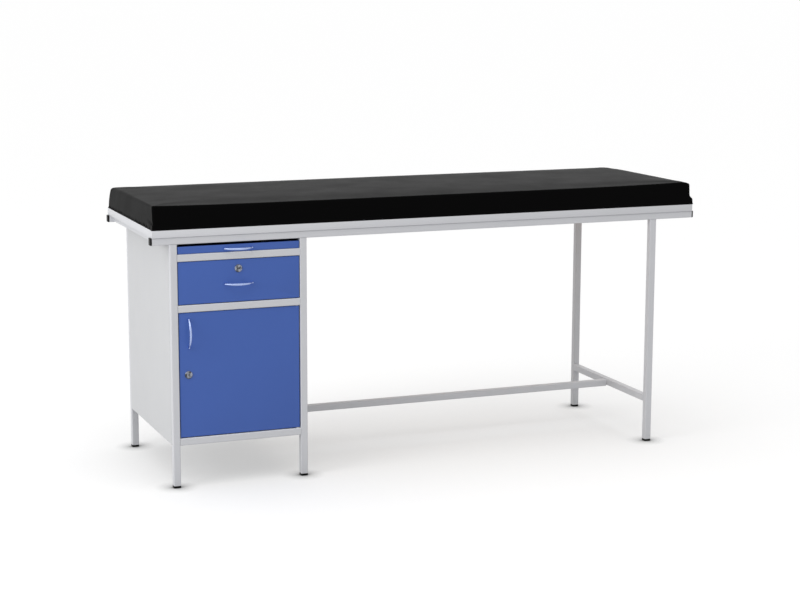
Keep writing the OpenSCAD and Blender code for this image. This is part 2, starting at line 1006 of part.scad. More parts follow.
pad_points = concat(
    [for (i = [0:pad_cols], j = [0:pad_rows])
        let (u = pad_u(i), v = pad_v(j))
        pad_point(u, v, 1, pad_top_z(u, v))],
    [for (b = [1:pad_bands], c = pad_edge)
        let (u = pad_u(c[0]), v = pad_v(c[1]), f = 1 - b / pad_bands)
        pad_point(u, v, f, f * pad_top_z(u, v))],
    [[0, (front_y + rear_y) / 2, bed_h]]
);
pad_faces = concat(
    [for (i = [0:pad_cols - 1], j = [0:pad_rows - 1], half = [0, 1])
        half == 0 ? [top_index([i, j]), top_index([i, j + 1]), top_index([i + 1, j + 1])]
                  : [top_index([i, j]), top_index([i + 1, j + 1]), top_index([i + 1, j])]],
    [for (b = [0:pad_bands - 1], k = [0:pad_loop - 1], half = [0, 1])
        half == 0 ? [band_index(b, k), band_index(b, k + 1), band_index(b + 1, k + 1)]
                  : [band_index(b, k), band_index(b + 1, k + 1), band_index(b + 1, k)]],
    [for (k = [0:pad_loop - 1])
        [band_index(pad_bands, k), band_index(pad_bands, k + 1), len(pad_points) - 1]]
);

module mattress() {
    color(vinyl_black)
        polyhedron(points = pad_points, faces = pad_faces);
}

front_rail();
rear_rail();
rail_end_caps();
front_angle();
rear_angle();
left_angle();
right_angle();
deck_board();
deck_screws();
end_bearer(left_x + end_bearer_inset);  // left_end_bearer
bearer(0);  // cabinet_left_bearer
bearer(1);  // cabinet_right_bearer
bearer(2);  // middle_bearer
bearer(3);  // h_frame_bearer
end_bearer(right_x - end_bearer_inset - tube);  // right_end_bearer
front_leg(cab_x);  // cabinet_front_left_leg
front_leg(bay_end);  // cabinet_front_right_leg
rear_leg(cab_x);  // cabinet_rear_left_leg
rear_leg(bay_end);  // cabinet_rear_right_leg
front_leg(h_x);  // h_frame_front_leg
rear_leg(h_x);  // h_frame_rear_leg
h_frame_crossbar();
stretcher();
foot_caps();
locker_sill_rail();
locker_head_rail();
drawer_head_rail();
cabinet_left_panel();
cabinet_right_panel();
cabinet_back_panel();
cabinet_floor();
locker_shelf();
shelf_angles();
drawer_runners();
tray_runners();
door_pivot_bushes();
mattress();
tray_face();
tray_pan();
tray_slides();
tray_handle();
tray_handle_screws();
drawer_face();
drawer_box();
drawer_slides();
drawer_handle();
drawer_handle_screws();
drawer_lock_barrel();
drawer_lock_plug();
drawer_lock_cam();
door_panel();
door_pivot_pins();
door_handle();
door_handle_screws();
door_lock_barrel();
door_lock_plug();
door_lock_cam();
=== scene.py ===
"""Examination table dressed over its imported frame: finishes, welds, folded steel, mattress and studio."""

import math

import bmesh
import bpy
from bpy.props import FloatProperty, FloatVectorProperty, IntProperty, PointerProperty
from bpy.types import Operator, Panel, PropertyGroup
from mathutils import Matrix, Vector, noise


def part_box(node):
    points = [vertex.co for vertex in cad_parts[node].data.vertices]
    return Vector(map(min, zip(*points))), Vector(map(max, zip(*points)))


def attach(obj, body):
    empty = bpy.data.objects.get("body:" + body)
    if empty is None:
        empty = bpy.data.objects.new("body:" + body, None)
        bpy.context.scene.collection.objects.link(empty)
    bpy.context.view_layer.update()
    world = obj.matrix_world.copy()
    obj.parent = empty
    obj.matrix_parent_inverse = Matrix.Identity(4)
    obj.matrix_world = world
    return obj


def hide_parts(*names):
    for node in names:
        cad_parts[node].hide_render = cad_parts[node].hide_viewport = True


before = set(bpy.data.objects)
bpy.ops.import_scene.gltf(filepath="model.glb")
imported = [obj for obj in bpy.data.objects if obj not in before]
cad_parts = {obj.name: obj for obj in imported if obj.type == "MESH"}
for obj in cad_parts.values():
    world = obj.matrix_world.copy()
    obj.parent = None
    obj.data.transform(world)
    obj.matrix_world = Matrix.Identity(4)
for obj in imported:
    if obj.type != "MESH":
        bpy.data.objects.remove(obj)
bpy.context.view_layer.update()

bl_info = {
    "name": "Examination table",
    "version": (1, 0, 0),
    "blender": (4, 5, 0),
    "location": "3D View > Sidebar > Exam Table",
    "description": "Finishes and soft parts of a steel examination table",
    "category": "Add Mesh",
}

MM = 0.001
# Two points closer than this are one
SAME_PLACE = 2e-6
# A point closer than this to a plane lies on it
ON_PLANE = MM / 10
AXES = {"x": 0, "y": 1, "z": 2}


def srgb(code):
    """A hex colour as linear red, green, blue and alpha."""
    parts = [int(code[i : i + 2], 16) / 255 for i in (1, 3, 5)]
    return [c / 12.92 if c <= 0.04045 else ((c + 0.055) / 1.055) ** 2.4 for c in parts] + [1.0]


def colour(name, description, code):
    """A colour that the user can change."""
    return FloatVectorProperty(
        name=name, description=description, default=srgb(code), size=4, min=0, max=1, subtype="COLOR"
    )


def length(name, description, millimetres):
    """A length that the user can change."""
    return FloatProperty(
        name=name,
        description=description,
        default=millimetres * MM,
        min=0,
        unit="LENGTH",
        subtype="DISTANCE",
    )


def number(name, description, default, **limits):
    """A number that the user can change."""
    return FloatProperty(name=name, description=description, default=default, **limits)


def count(name, description, default, **limits):
    """A whole number that the user can change."""
    return IntProperty(name=name, description=description, default=default, **limits)


class ExamTableFinishes(PropertyGroup):
    """Colours of the finishes"""

    frame_white: colour("Frame white", "Powder coat of the tube frame", "#dbdce0")
    panel_white: colour("Panel white", "Powder coat of the cabinet's panels", "#d4d5d7")
    front_blue: colour("Front blue", "Powder coat of the door, drawer and tray", "#4466b6")
    cap_black: colour("Cap black", "Moulded end caps", "#050506")
    zinc: colour("Zinc", "Plated runners, screws and cams", "#b4b6ba")
    # The blue tint of the handles' colour is painted reflection of the blue fronts they stand on
    bright: colour("Bright plate", "Handles", "#a8b8e1")
    # The lock colours are drawn in patches of painted highlight and painted dark reflection
    lock_ring: colour("Lock ring", "Nickel plate of the lock barrels", "#999eac")
    lock_plug: colour("Lock plug", "Worn nickel plate of the lock plugs", "#a3a6ae")
    vinyl: colour("Vinyl", "Cover of the mattress", "#040405")
    wood: colour("Plywood", "Deck board under the mattress", "#c7a071")
    nylon: colour("Nylon", "Bushes of the door's pivots", "#e3e2dc")


class ExamTableSteel(PropertyGroup):
    """Bends, rounded edges, handles and weld beads"""

    bend: length("Bend radius", "Outer radius of the folds of the fronts", 1.8)
    cap_round: length("Cap rounding", "Rounding of the moulded caps' edges", 1.3)
    edge_round: length("Edge rounding", "Rounding of small turned and stamped pieces", 0.3)
    lock_round: length("Lock rounding", "Rounding of the rims and of the key slot in a lock's face", 0.6)
    angle_round: length("Angle rounding", "Rounding of the angle irons' edges", 0.8)
    handle_swell: number("Handle swell", "Width of a handle's middle as a share of its strap's", 0.9, min=0)
    handle_taper: number("Handle taper", "Share of width that a handle loses to its feet", 0.3, min=0)
    frame_bead: length("Weld bead", "Radius of the frame's weld beads", 1.8)
    corner_bead: length("Corner bead", "Radius of the beads in the cabinet's openings", 1.0)
    ripple: length("Bead ripple", "Distance between the ripples of a weld bead", 2.6)


class ExamTableMattress(PropertyGroup):
    """Form of the mattress at rest and of its cover"""

    cells_long: count("Cells along", "Cells of the cover along the bed", 100, min=20)
    cells_wide: count("Cells across", "Cells of the cover across the bed", 110, min=20)
    cells_high: count("Cells high", "Cells of the cover up its sides", 10, min=4)
    crown: length("Crown", "Rise of the middle over the edges", 3)
    corner: length("Corner radius", "Radius of the corners seen from above", 7)
    front_roll: length("Front roll", "Radius of the top edge along the front", 3.5)
    rear_roll: length("Rear roll", "Radius of the top edge along the rear", 20)
    left_roll: length("Left roll", "Radius of the top edge at the left end's rear", 11)
    left_lean: length("Left lean", "How far the left end's rear leans in", 7)
    right_inset: length("Right inset", "How far the right end stands in above its tucked hem", 11.5)
    right_hem: length("Right hem", "How far the tucked hem of the right end stands proud", 6)
    right_slope: length("Right slope", "Fall of the top at the right end", 7.5)
    slope_run: length("Slope run", "Length of the fall at the right end", 26)
    left_lift: length("Left lift", "Rise of the front edge towards the left end", 4.4)
    right_lift: length("Right lift", "Rise of the front edge towards the right end", 5.6)
    swell: length("Swell", "Most that the filling pushes the cover outwards", 2.5)
    settle: length("Settle", "How far the unfilled cover lies under the filled one", 1.2)
    pucker: length("Pucker depth", "Depth of the gathers along the hem of the left end", 5)
    pucker_gap: length("Pucker spacing", "Mean distance between the gathers", 22)
    tuck: length("Tuck depth", "Depth of the fold at the front left corner", 4)
    rear_fall: length("Rear fall", "Fall of the top towards the rear edge", 3)


class ExamTableStage(PropertyGroup):
    """Light, floor and camera"""

    ambient: number("Ambient", "Strength of the even light all round", 0.55, min=0)
    overhead: number("Overhead", "Strength of the large soft light overhead", 1.25, min=0)
    fill: number("Fill", "Power of the large lamp at the front left", 58, min=0, unit="POWER")
    floor_lift: number("Floor lift", "Brightness added to the floor where it is seen", 0.44, min=0)
    contact: number("Contact", "Darkness of the floor close to the feet", 2.0, min=0)
    camera_place: FloatVectorProperty(
        name="Camera",
        description="Where the camera stands",
        default=(-2.2617, -5.6971, 1.5786),
        subtype="TRANSLATION",
    )
    camera_turn: FloatVectorProperty(
        name="Camera turn",
        description="How the camera is turned",
        default=[math.radians(a) for a in (79.9116, -0.1510, -21.5034)],
        subtype="EULER",
    )
    lens: number("Lens", "Focal length on a 36 mm sensor", 84.874, min=1, unit="CAMERA")


# Node trees

# A pattern's scale is the number of its features to the metre: at 500 they are 2 mm apart

# Sockets of a Mix node that mixes colours: its factor, its two colours and its result
FACTOR, COLOUR_A, COLOUR_B, MIXED = 0, 6, 7, 2


def add_node(tree, kind, sockets=None, **settings):
    """Adds a node to a tree with its settings; a socket is given a value or another node's output."""
    node = tree.nodes.new(kind)
    for key, value in settings.items():
        setattr(node, key, value)
    for key, value in (sockets or {}).items():
        if isinstance(value, bpy.types.NodeSocket):
            tree.links.new(value, node.inputs[key])
        else:
            node.inputs[key].default_value = value
    return node


def new_finish(name, colour_value, **values):
    """A material, its node tree, the piece's own coordinates and its Principled shader."""
    finish = bpy.data.materials.new(name)
    finish.use_nodes = True
    tree = finish.node_tree
    tree.nodes.clear()
    place = add_node(tree, "ShaderNodeTexCoord").outputs["Object"]
    sockets = {"Base Color": colour_value}
    sockets.update(values)
    shader = add_node(tree, "ShaderNodeBsdfPrincipled", sockets)
    add_node(tree, "ShaderNodeOutputMaterial", {"Surface": shader.outputs["BSDF"]})
    return finish, tree, place, shader


def tint(tree, shader, place, base, darker, scale, detail=2.0):
    """Varies a shader's colour gently between two colours, in soft clouds."""
    cloud = add_node(tree, "ShaderNodeTexNoise", {"Vector": place, "Scale": scale, "Detail": detail})
    mix = add_node(
        tree,
        "ShaderNodeMix",
        {FACTOR: cloud.outputs["Fac"], COLOUR_A: base, COLOUR_B: darker},
        data_type="RGBA",
    )
    tree.links.new(mix.outputs[MIXED], shader.inputs["Base Color"])


def vary_roughness(tree, shader, place, scale, low, high):
    """Lets a shader's roughness drift between two values, as handling and drying leave it."""
    cloud = add_node(tree, "ShaderNodeTexNoise", {"Vector": place, "Scale": scale, "Detail": 3.0})
    spread = add_node(
        tree, "ShaderNodeMapRange", {"Value": cloud.outputs["Fac"], "To Min": low, "To Max": high}
    )
    tree.links.new(spread.outputs["Result"], shader.inputs["Roughness"])


def emboss(tree, shader, height, depth, strength, over=None):
    """Gives a shader relief of a depth, over an earlier relief where one is given."""
    sockets = {"Height": height, "Distance": depth, "Strength": strength}
    if over:
        sockets["Normal"] = over
    bump = add_node(tree, "ShaderNodeBump", sockets)
    tree.links.new(bump.outputs["Normal"], shader.inputs["Normal"])
    return bump.outputs["Normal"]


def shade(base, factor):
    """A linear colour made darker by a factor."""
    return [c * factor for c in base[:3]] + [1.0]


def powder_coat(name, base, roughness):
    """Baked polyester powder on steel: a satin skin whose faint orange peel breaks up its reflections."""
    finish, tree, place, shader = new_finish(name, base, Roughness=roughness, IOR=1.5)
    shader.inputs["Specular IOR Level"].default_value = 0.4
    tint(tree, shader, place, base, shade(base, 0.955), scale=9.0)
    vary_roughness(tree, shader, place, scale=25.0, low=roughness - 0.05, high=roughness + 0.05)
    # Peel about 2 mm from crest to crest
    peel = add_node(tree, "ShaderNodeTexNoise", {"Vector": place, "Scale": 480.0, "Detail": 1.0})
    emboss(tree, shader, peel.outputs["Fac"], depth=0.06 * MM, strength=0.5)
    return finish


def moulded_plastic(name, base, roughness):
    """Injection moulded polyethylene or nylon with a spark-eroded skin: soft, dull highlights."""
    finish, tree, place, shader = new_finish(name, base, Roughness=roughness, IOR=1.5)
    shader.inputs["Specular IOR Level"].default_value = 0.15
    tint(tree, shader, place, base, shade(base, 0.85), scale=60.0)
    # Spark-eroded grain is about 0.1 mm, drawn at 0.8 mm so that it shows
    grain = add_node(tree, "ShaderNodeTexNoise", {"Vector": place, "Scale": 1250.0, "Detail": 2.0})
    emboss(tree, shader, grain.outputs["Fac"], depth=0.05 * MM, strength=0.6)
    return finish


def zinc_plating(name, base):
    """Bright zinc on pressed steel, passivated: a grey metal with cloudy, uneven gloss."""
    finish, tree, place, shader = new_finish(name, base, Metallic=1.0, Roughness=0.38)
    tint(tree, shader, place, base, shade(base, 0.8), scale=70.0, detail=4.0)
    vary_roughness(tree, shader, place, scale=90.0, low=0.28, high=0.48)
    # Rolling lines along the strip, 0.4 mm apart
    stretch = add_node(tree, "ShaderNodeMapping", {"Vector": place, "Scale": (2500.0, 20.0, 2500.0)})
    lines = add_node(
        tree, "ShaderNodeTexNoise", {"Vector": stretch.outputs["Vector"], "Scale": 1.0, "Detail": 1.0}
    )
    emboss(tree, shader, lines.outputs["Fac"], depth=0.02 * MM, strength=0.4)
    return finish


def satin_chrome(name, base, roughness):
    """Nickel and chrome over a polished bar: a bright metal with slightly softened reflections."""
    finish, tree, place, shader = new_finish(name, base, Metallic=1.0, Roughness=roughness)
    tint(tree, shader, place, base, shade(base, 0.92), scale=130.0)
    vary_roughness(tree, shader, place, scale=180.0, low=roughness - 0.05, high=roughness + 0.07)
    # Polishing marks about 0.5 mm apart
    marks = add_node(tree, "ShaderNodeTexNoise", {"Vector": place, "Scale": 2000.0, "Detail": 2.0})
    emboss(tree, shader, marks.outputs["Fac"], depth=0.01 * MM, strength=0.3)
    return finish


def nickel_with_painted_reflections(name, base, roughness):
    """Nickel plate with painted highlights and painted dark reflections, in patches."""
    finish, tree, place, shader = new_finish(name, base, Metallic=1.0, Roughness=roughness)
    # Painted highlights and painted dark reflections: patches about 8 mm across with sharp borders
    cloud = add_node(tree, "ShaderNodeTexNoise", {"Vector": place, "Scale": 125.0, "Detail": 2.0})
    patch = add_node(
        tree, "ShaderNodeMapRange", {"Value": cloud.outputs["Fac"], "From Min": 0.38, "From Max": 0.62}
    )
    mix = add_node(
        tree,
        "ShaderNodeMix",
        {FACTOR: patch.outputs["Result"], COLOUR_A: base, COLOUR_B: shade(base, 0.15)},
        data_type="RGBA",
    )
    tree.links.new(mix.outputs[MIXED], shader.inputs["Base Color"])
    vary_roughness(tree, shader, place, scale=180.0, low=roughness - 0.05, high=roughness + 0.07)
    return finish


def coated_cloth(name, base):
    """Calendered vinyl on a knitted backing: a near-black skin with a pressed grain and a faint sheen."""
    finish, tree, place, shader = new_finish(name, base, Roughness=0.5, IOR=1.5)
    shader.inputs["Specular IOR Level"].default_value = 0.028
    shader.inputs["Specular Tint"].default_value = srgb("#fffdf2")
    tint(tree, shader, place, base, shade(base, 0.8), scale=14.0)
    vary_roughness(tree, shader, place, scale=11.0, low=0.42, high=0.54)
    # Pressed grain: cells about 2 mm across with finer creases between them
    cells = add_node(
        tree,
        "ShaderNodeTexVoronoi",
        {"Vector": place, "Scale": 500.0, "Randomness": 1.0},
        feature="DISTANCE_TO_EDGE",
    )
    creases = add_node(tree, "ShaderNodeTexNoise", {"Vector": place, "Scale": 900.0, "Detail": 2.0})
    pressed = emboss(tree, shader, cells.outputs["Distance"], depth=0.2 * MM, strength=0.35)
    emboss(tree, shader, creases.outputs["Fac"], depth=0.1 * MM, strength=0.25, over=pressed)
    return finish


def plywood(name, base):
    """Rotary-cut poplar ply: long cathedral grain on its faces, stacked plies on its edges."""
    finish, tree, place, shader = new_finish(name, base, Roughness=0.62, IOR=1.5)
    # Bands about 40 mm wide with finer lines down to 1 mm between them, drawn out along the board
    stretch = add_node(tree, "ShaderNodeMapping", {"Vector": place, "Scale": (1.2, 24.0, 24.0)})
    flow = add_node(
        tree,
        "ShaderNodeTexNoise",
        {"Vector": stretch.outputs["Vector"], "Scale": 1.0, "Detail": 5.0, "Distortion": 0.8},
    )
    # Pores about 1 mm apart and 30 mm long
    pores_at = add_node(tree, "ShaderNodeMapping", {"Vector": place, "Scale": (30.0, 900.0, 900.0)})
    pores = add_node(
        tree, "ShaderNodeTexNoise", {"Vector": pores_at.outputs["Vector"], "Scale": 1.0, "Detail": 2.0}
    )
    ramp = add_node(tree, "ShaderNodeValToRGB", {"Fac": flow.outputs["Fac"]})
    ramp.color_ramp.elements[0].position = 0.3
    ramp.color_ramp.elements[0].color = shade(base, 0.62)
    ramp.color_ramp.elements[1].position = 0.7
    ramp.color_ramp.elements[1].color = base
    # Five dark plies, 4 mm apart, in the board's thickness
    plies = add_node(tree, "ShaderNodeTexWave", {"Vector": place, "Scale": 80.0}, bands_direction="Z")
    side = add_node(tree, "ShaderNodeNewGeometry").outputs["Normal"]
    upright = add_node(tree, "ShaderNodeSeparateXYZ", {"Vector": side})
    flat = add_node(tree, "ShaderNodeMath", {0: upright.outputs["Z"]}, operation="ABSOLUTE")
    on_edge = add_node(tree, "ShaderNodeMath", {0: 1.0, 1: flat.outputs["Value"]}, operation="SUBTRACT")
    dark = add_node(
        tree, "ShaderNodeMath", {0: on_edge.outputs["Value"], 1: plies.outputs["Fac"]}, operation="MULTIPLY"
    )
    mix = add_node(
        tree,
        "ShaderNodeMix",
        {FACTOR: dark.outputs["Value"], COLOUR_A: ramp.outputs["Color"], COLOUR_B: shade(base, 0.4)},
        data_type="RGBA",
    )
    tree.links.new(mix.outputs[MIXED], shader.inputs["Base Color"])
    emboss(tree, shader, pores.outputs["Fac"], depth=0.1 * MM, strength=0.5)
    return finish


# Every finish by the name of its slot, or of its variant of a slot's finish; the first step fills it
FINISHES = {}


# Meshes


def merged(node):
    """A copy of a CAD node with its loose triangles joined and its flat faces whole."""
    bm = bmesh.new()
    bm.from_mesh(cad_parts[node].data)
    bmesh.ops.remove_doubles(bm, verts=bm.verts, dist=SAME_PLACE)
    bmesh.ops.dissolve_limit(bm, angle_limit=math.radians(0.5), verts=bm.verts, edges=bm.edges)
    return bm


def round_edges(bm, radius, sharper_than=50.0, segments=2, chosen=None):
    """Rounds the edges that bend more than an angle."""
    limit = math.radians(sharper_than)
    edges = [
        e
        for e in bm.edges
        if e.is_manifold and e.calc_face_angle() > limit and (chosen is None or chosen(e))
    ]
    bmesh.ops.bevel(
        bm,
        geom=edges,
        offset=radius,
        offset_type="OFFSET",
        segments=segments,
        profile=0.5,
        affect="EDGES",
        material=-1,
        clamp_overlap=True,
    )


def add_piece(bm, name, body, slot, *nodes, smooth_below=38.0, finish=None):
    """Makes a bmesh a piece that rides on a body, in its slot's finish or a variant, in place of nodes."""
    mesh = bpy.data.meshes.new(name)
    bm.to_mesh(mesh)
    bm.free()
    mesh.shade_smooth()
    mesh.set_sharp_from_angle(angle=math.radians(smooth_below))
    piece = bpy.data.objects.new(name, mesh)
    bpy.context.scene.collection.objects.link(piece)
    mesh.materials.append(FINISHES[finish or slot])
    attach(piece, body)
    if nodes:
        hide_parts(*nodes)
    return piece


def open_grid(lo, hi, cells):
    """A box between two corners, open at its bottom and cut into a number of cells along each axis."""
    bm = bmesh.new()
    place = Matrix.Translation((lo + hi) / 2) @ Matrix.Diagonal((hi - lo).to_4d())
    bmesh.ops.create_cube(bm, size=1, matrix=place)
    bottom = [f for f in bm.faces if f.normal.z < -0.5]
    bmesh.ops.delete(bm, geom=bottom, context="FACES_ONLY")
    for axis, parts in enumerate(cells):
        edges = [e for e in bm.edges if abs(e.verts[0].co[axis] - e.verts[1].co[axis]) > SAME_PLACE]
        bmesh.ops.subdivide_edges(bm, edges=edges, cuts=parts - 1, use_grid_fill=True)
    return bm


def folded_front(node, radius, open_top=False):
    """A copy of a sheet front with its sides folded back round a bend instead of a sharp edge."""
    lo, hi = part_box(node)
    bm = merged(node)
    rims = [(0, lo.x), (0, hi.x), (2, lo.z)] + ([] if open_top else [(2, hi.z)])

    def is_bend(edge):
        if max(v.co.y for v in edge.verts) > lo.y + ON_PLANE:
            return False
        return any(all(abs(v.co[axis] - at) < ON_PLANE for v in edge.verts) for axis, at in rims)

    round_edges(bm, radius, segments=4, chosen=is_bend)
    return bm


# Share of a bead's radius that its ripples lose, its radius at the very tips, and how fast the tips widen
RIPPLE_SHARE = 0.14
TIP_SHARE = 0.35
TIP_GROWTH = 8.0


def weld_bead(bm, start, end, radius, pitch):
    """A rippled bead of weld from one point to another, closed to a tip at both ends."""
    along = end - start
    # Two rows of points for each ripple, and at least three ripples
    steps = 2 * max(3, round(along.length / pitch))
    turn = along.to_track_quat("Z", "Y").to_matrix().to_4x4()
    place = Matrix.Translation((start + end) / 2) @ turn
    laid = len(bm.verts)
    made = bmesh.ops.create_cone(
        bm, cap_ends=True, segments=8, radius1=radius, radius2=radius, depth=along.length, matrix=place
    )
    # The edges along the bead, not those round its two ends
    sides = {
        e
        for v in made["verts"]
        for e in v.link_edges
        if abs((e.verts[0].co - e.verts[1].co).dot(along)) > 1e-9
    }
    bmesh.ops.subdivide_edges(bm, edges=list(sides), cuts=steps - 1, use_grid_fill=True)
    bm.verts.ensure_lookup_table()
    for v in bm.verts[laid:]:
        t = (v.co - start).dot(along) / along.length_squared
        axis = start + along * t
        crest = 1 - RIPPLE_SHARE + RIPPLE_SHARE * math.cos(t * steps * math.pi)
        tip = min(1.0, TIP_SHARE + TIP_GROWTH * min(t, 1 - t))
        v.co = axis + (v.co - axis) * crest * tip


def weld_seam(bm, node, end, sides, radius, pitch):
    """Beads round a tube's end. The end and the sides are named by sign and axis, as in "+x"."""
    lo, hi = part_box(node)
    corners = {"-": lo, "+": hi}
    axis = AXES[end[1]]
    for side in sides.split():
        across = AXES[side[1]]
        along = 3 - axis - across
        start, stop = lo.copy(), hi.copy()
        for p in (start, stop):
            p[axis] = corners[end[0]][axis]
            p[across] = corners[side[0]][across]
        start[along] += radius
        stop[along] -= radius
        weld_bead(bm, start, stop, radius, pitch)


FRAME_WELDS = (
    ("stretcher", "+x", "-y +y +z"),
    ("stretcher", "-x", "-y +y +z"),
    ("h_frame_crossbar", "-y", "-z +z"),
    ("h_frame_crossbar", "+y", "-z +z"),
    ("h_frame_front_leg", "+z", "-x +x"),
    ("h_frame_rear_leg", "+z", "-y +y"),
    ("cabinet_front_left_leg", "+z", "-x +x"),
    ("cabinet_front_right_leg", "+z", "-x +x"),
    ("cabinet_rear_left_leg", "+z", "-y"),
    ("cabinet_rear_right_leg", "+z", "-y"),
    ("left_end_bearer", "-y", "-x +x"),
    ("left_end_bearer", "+y", "-x +x"),
    ("cabinet_left_bearer", "-y", "-x +x -z"),
    ("cabinet_left_bearer", "+y", "-x +x -z"),
    ("cabinet_right_bearer", "-y", "-x +x -z"),
    ("cabinet_right_bearer", "+y", "-x +x -z"),
    ("middle_bearer", "-y", "-x +x -z"),
    ("middle_bearer", "+y", "-x +x -z"),
    ("h_frame_bearer", "-y", "-x +x -z"),
    ("h_frame_bearer", "+y", "-x +x -z"),
    ("right_end_bearer", "-y", "-x +x"),
    ("right_end_bearer", "+y", "-x +x"),
)
OPENING_WELDS = (
    ("locker_sill_rail", "+z"),
    ("locker_head_rail", "-z +z"),
    ("drawer_head_rail", "-z +z"),
)


# Operators


class EXAMTABLE_OT_finishes(Operator):
    """Makes every finish and gives it to the CAD nodes of its slot"""

    bl_idname = "exam_table.finishes"
    bl_label = "Finishes"

    def execute(self, context):
        chosen = context.scene.exam_table_finishes
        FINISHES.update(
            frame_paint=powder_coat("white_powder_coat", chosen.frame_white, 0.42),
            panel_paint=powder_coat("panel_powder_coat", chosen.panel_white, 0.46),
            blue_paint=powder_coat("blue_powder_coat", chosen.front_blue, 0.44),
            black_plastic=moulded_plastic("moulded_black_polyethylene", chosen.cap_black, 0.5),
            zinc_plate=zinc_plating("zinc_plated_steel", chosen.zinc),
            bright_plate=satin_chrome("satin_chrome_plate", chosen.bright, 0.27),
            lock_ring=nickel_with_painted_reflections("satin_nickel_plate", chosen.lock_ring, 0.25),
            lock_plug=nickel_with_painted_reflections("painted_reflection_nickel_plate", chosen.lock_plug, 0.25),
            plywood=plywood("poplar_plywood", chosen.wood),
            nylon=moulded_plastic("natural_nylon", chosen.nylon, 0.4),
            vinyl=coated_cloth("black_vinyl_cloth", chosen.vinyl),
        )
        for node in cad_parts.values():
            for holder in node.material_slots:
                holder.material = FINISHES[holder.material.name.split(".")[0]]
        return {"FINISHED"}


class EXAMTABLE_OT_welds(Operator):
    """Lays the weld beads at the frame's joints and in the cabinet's openings"""

    bl_idname = "exam_table.welds"
    bl_label = "Weld beads"

    def execute(self, context):
        steel = context.scene.exam_table_steel
        bm = bmesh.new()
        for node, end, sides in FRAME_WELDS:
            weld_seam(bm, node, end, sides, steel.frame_bead, steel.ripple)
        for node, sides in OPENING_WELDS:
            for end in ("-x", "+x"):
                weld_seam(bm, node, end, sides, steel.corner_bead, steel.ripple)
        add_piece(bm, "weld_beads", "frame", "frame_paint", smooth_below=80)
        return {"FINISHED"}


class EXAMTABLE_OT_caps(Operator):
    """Rounds the moulded caps of the rails and the feet"""

    bl_idname = "exam_table.caps"
    bl_label = "Moulded caps"

    def execute(self, context):
        steel = context.scene.exam_table_steel
        for node in ("rail_end_caps", "foot_caps"):
            bm = merged(node)
            round_edges(bm, steel.cap_round, segments=4)
            add_piece(bm, "moulded_" + node, "frame", "black_plastic", node)
        return {"FINISHED"}


class EXAMTABLE_OT_angles(Operator):
    """Softens the edges of the bed's angle irons"""

    bl_idname = "exam_table.angles"
    bl_label = "Angle irons"

    def execute(self, context):
        steel = context.scene.exam_table_steel
        for node in ("front_angle", "rear_angle", "left_angle", "right_angle"):
            bm = merged(node)
            round_edges(bm, steel.angle_round, segments=3)
            add_piece(bm, "rolled_" + node, "frame", "frame_paint", node)
        return {"FINISHED"}


class EXAMTABLE_OT_fronts(Operator):
    """Folds the sheet fronts of the door, the drawer and the tray"""

    bl_idname = "exam_table.fronts"
    bl_label = "Folded fronts"

    def execute(self, context):
        bend = context.scene.exam_table_steel.bend
        for node, name, body, open_top in (
            ("drawer_face", "folded_drawer_front", "drawer", False),
            ("tray_face", "folded_tray_front", "tray", True),
            ("door_panel", "folded_door", "door", False),
        ):
            bm = folded_front(node, bend, open_top)
            add_piece(bm, name, body, "blue_paint", node)
        return {"FINISHED"}


class EXAMTABLE_OT_handles(Operator):
    """Tapers the bow handles from their middle to their feet"""

    bl_idname = "exam_table.handles"
    bl_label = "Bow handles"

    def execute(self, context):
        steel = context.scene.exam_table_steel
        for body, along, across in (("tray", 0, 2), ("drawer", 0, 2), ("door", 2, 0)):
            node = body + "_handle"
            lo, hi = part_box(node)
            middle, half = (lo + hi) / 2, (hi - lo) / 2
            bm = merged(node)
            for v in bm.verts:
                t = (v.co[along] - middle[along]) / half[along]
                width = steel.handle_swell - steel.handle_taper * t * t
                v.co[across] = middle[across] + (v.co[across] - middle[across]) * width
            add_piece(bm, "tapered_" + node, body, "bright_plate", node)
        return {"FINISHED"}


class EXAMTABLE_OT_locks(Operator):
    """Chamfers the locks' faces and softens their other edges and their cams"""

    bl_idname = "exam_table.locks"
    bl_label = "Cam locks"

    def execute(self, context):
        steel = context.scene.exam_table_steel
        for body in ("drawer", "door"):
            for part, rider, slot, finish in (
                ("_lock_barrel", body, "bright_plate", "lock_ring"),
                ("_lock_plug", body + "_lock", "bright_plate", "lock_plug"),
                ("_lock_cam", body + "_lock", "zinc_plate", None),
            ):
                bm = merged(body + part)
                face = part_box(body + part)[0].y + ON_PLANE
                if finish:
                    round_edges(
                        bm,
                        steel.lock_round,
                        sharper_than=45,
                        segments=3,
                        chosen=lambda e: max(v.co.y for v in e.verts) < face,
                    )
                round_edges(bm, steel.edge_round, sharper_than=60)
                add_piece(bm, "finished_" + body + part, rider, slot, body + part, finish=finish)
        return {"FINISHED"}


class EXAMTABLE_OT_mattress(Operator):
    """Makes the padded mattress"""

    bl_idname = "exam_table.mattress"
    bl_label = "Mattress"

    def execute(self, context):
        size = context.scene.exam_table_mattress
        lo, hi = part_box("mattress")
        bm = open_grid(lo, hi, (size.cells_long, size.cells_wide, size.cells_high))
        shape_pad(bm, lo, hi, size)
        pad = add_piece(bm, "padded_mattress", "frame", "vinyl", "mattress")
        swell_pad(pad, lo.z, size.swell)
        finer = pad.modifiers.new("Finer", "SUBSURF")
        finer.levels = finer.render_levels = 1
        bm = bmesh.new()
        bm.from_object(pad, context.evaluated_depsgraph_get())
        pad.modifiers.clear()
        crease_pad(bm, lo, size)
        bmesh.ops.holes_fill(bm, edges=[e for e in bm.edges if e.is_boundary])
        bmesh.ops.recalc_face_normals(bm, faces=bm.faces)
        bm.to_mesh(pad.data)
        bm.free()
        pad.data.shade_smooth()
        pad.data.set_sharp_from_angle(angle=math.radians(60))
        return {"FINISHED"}


# How strongly the cover's grid is crowded towards its ends, its sides and its foot
CROWD_LONG, CROWD_WIDE, CROWD_HIGH = 1.7, 1.35, 1.3
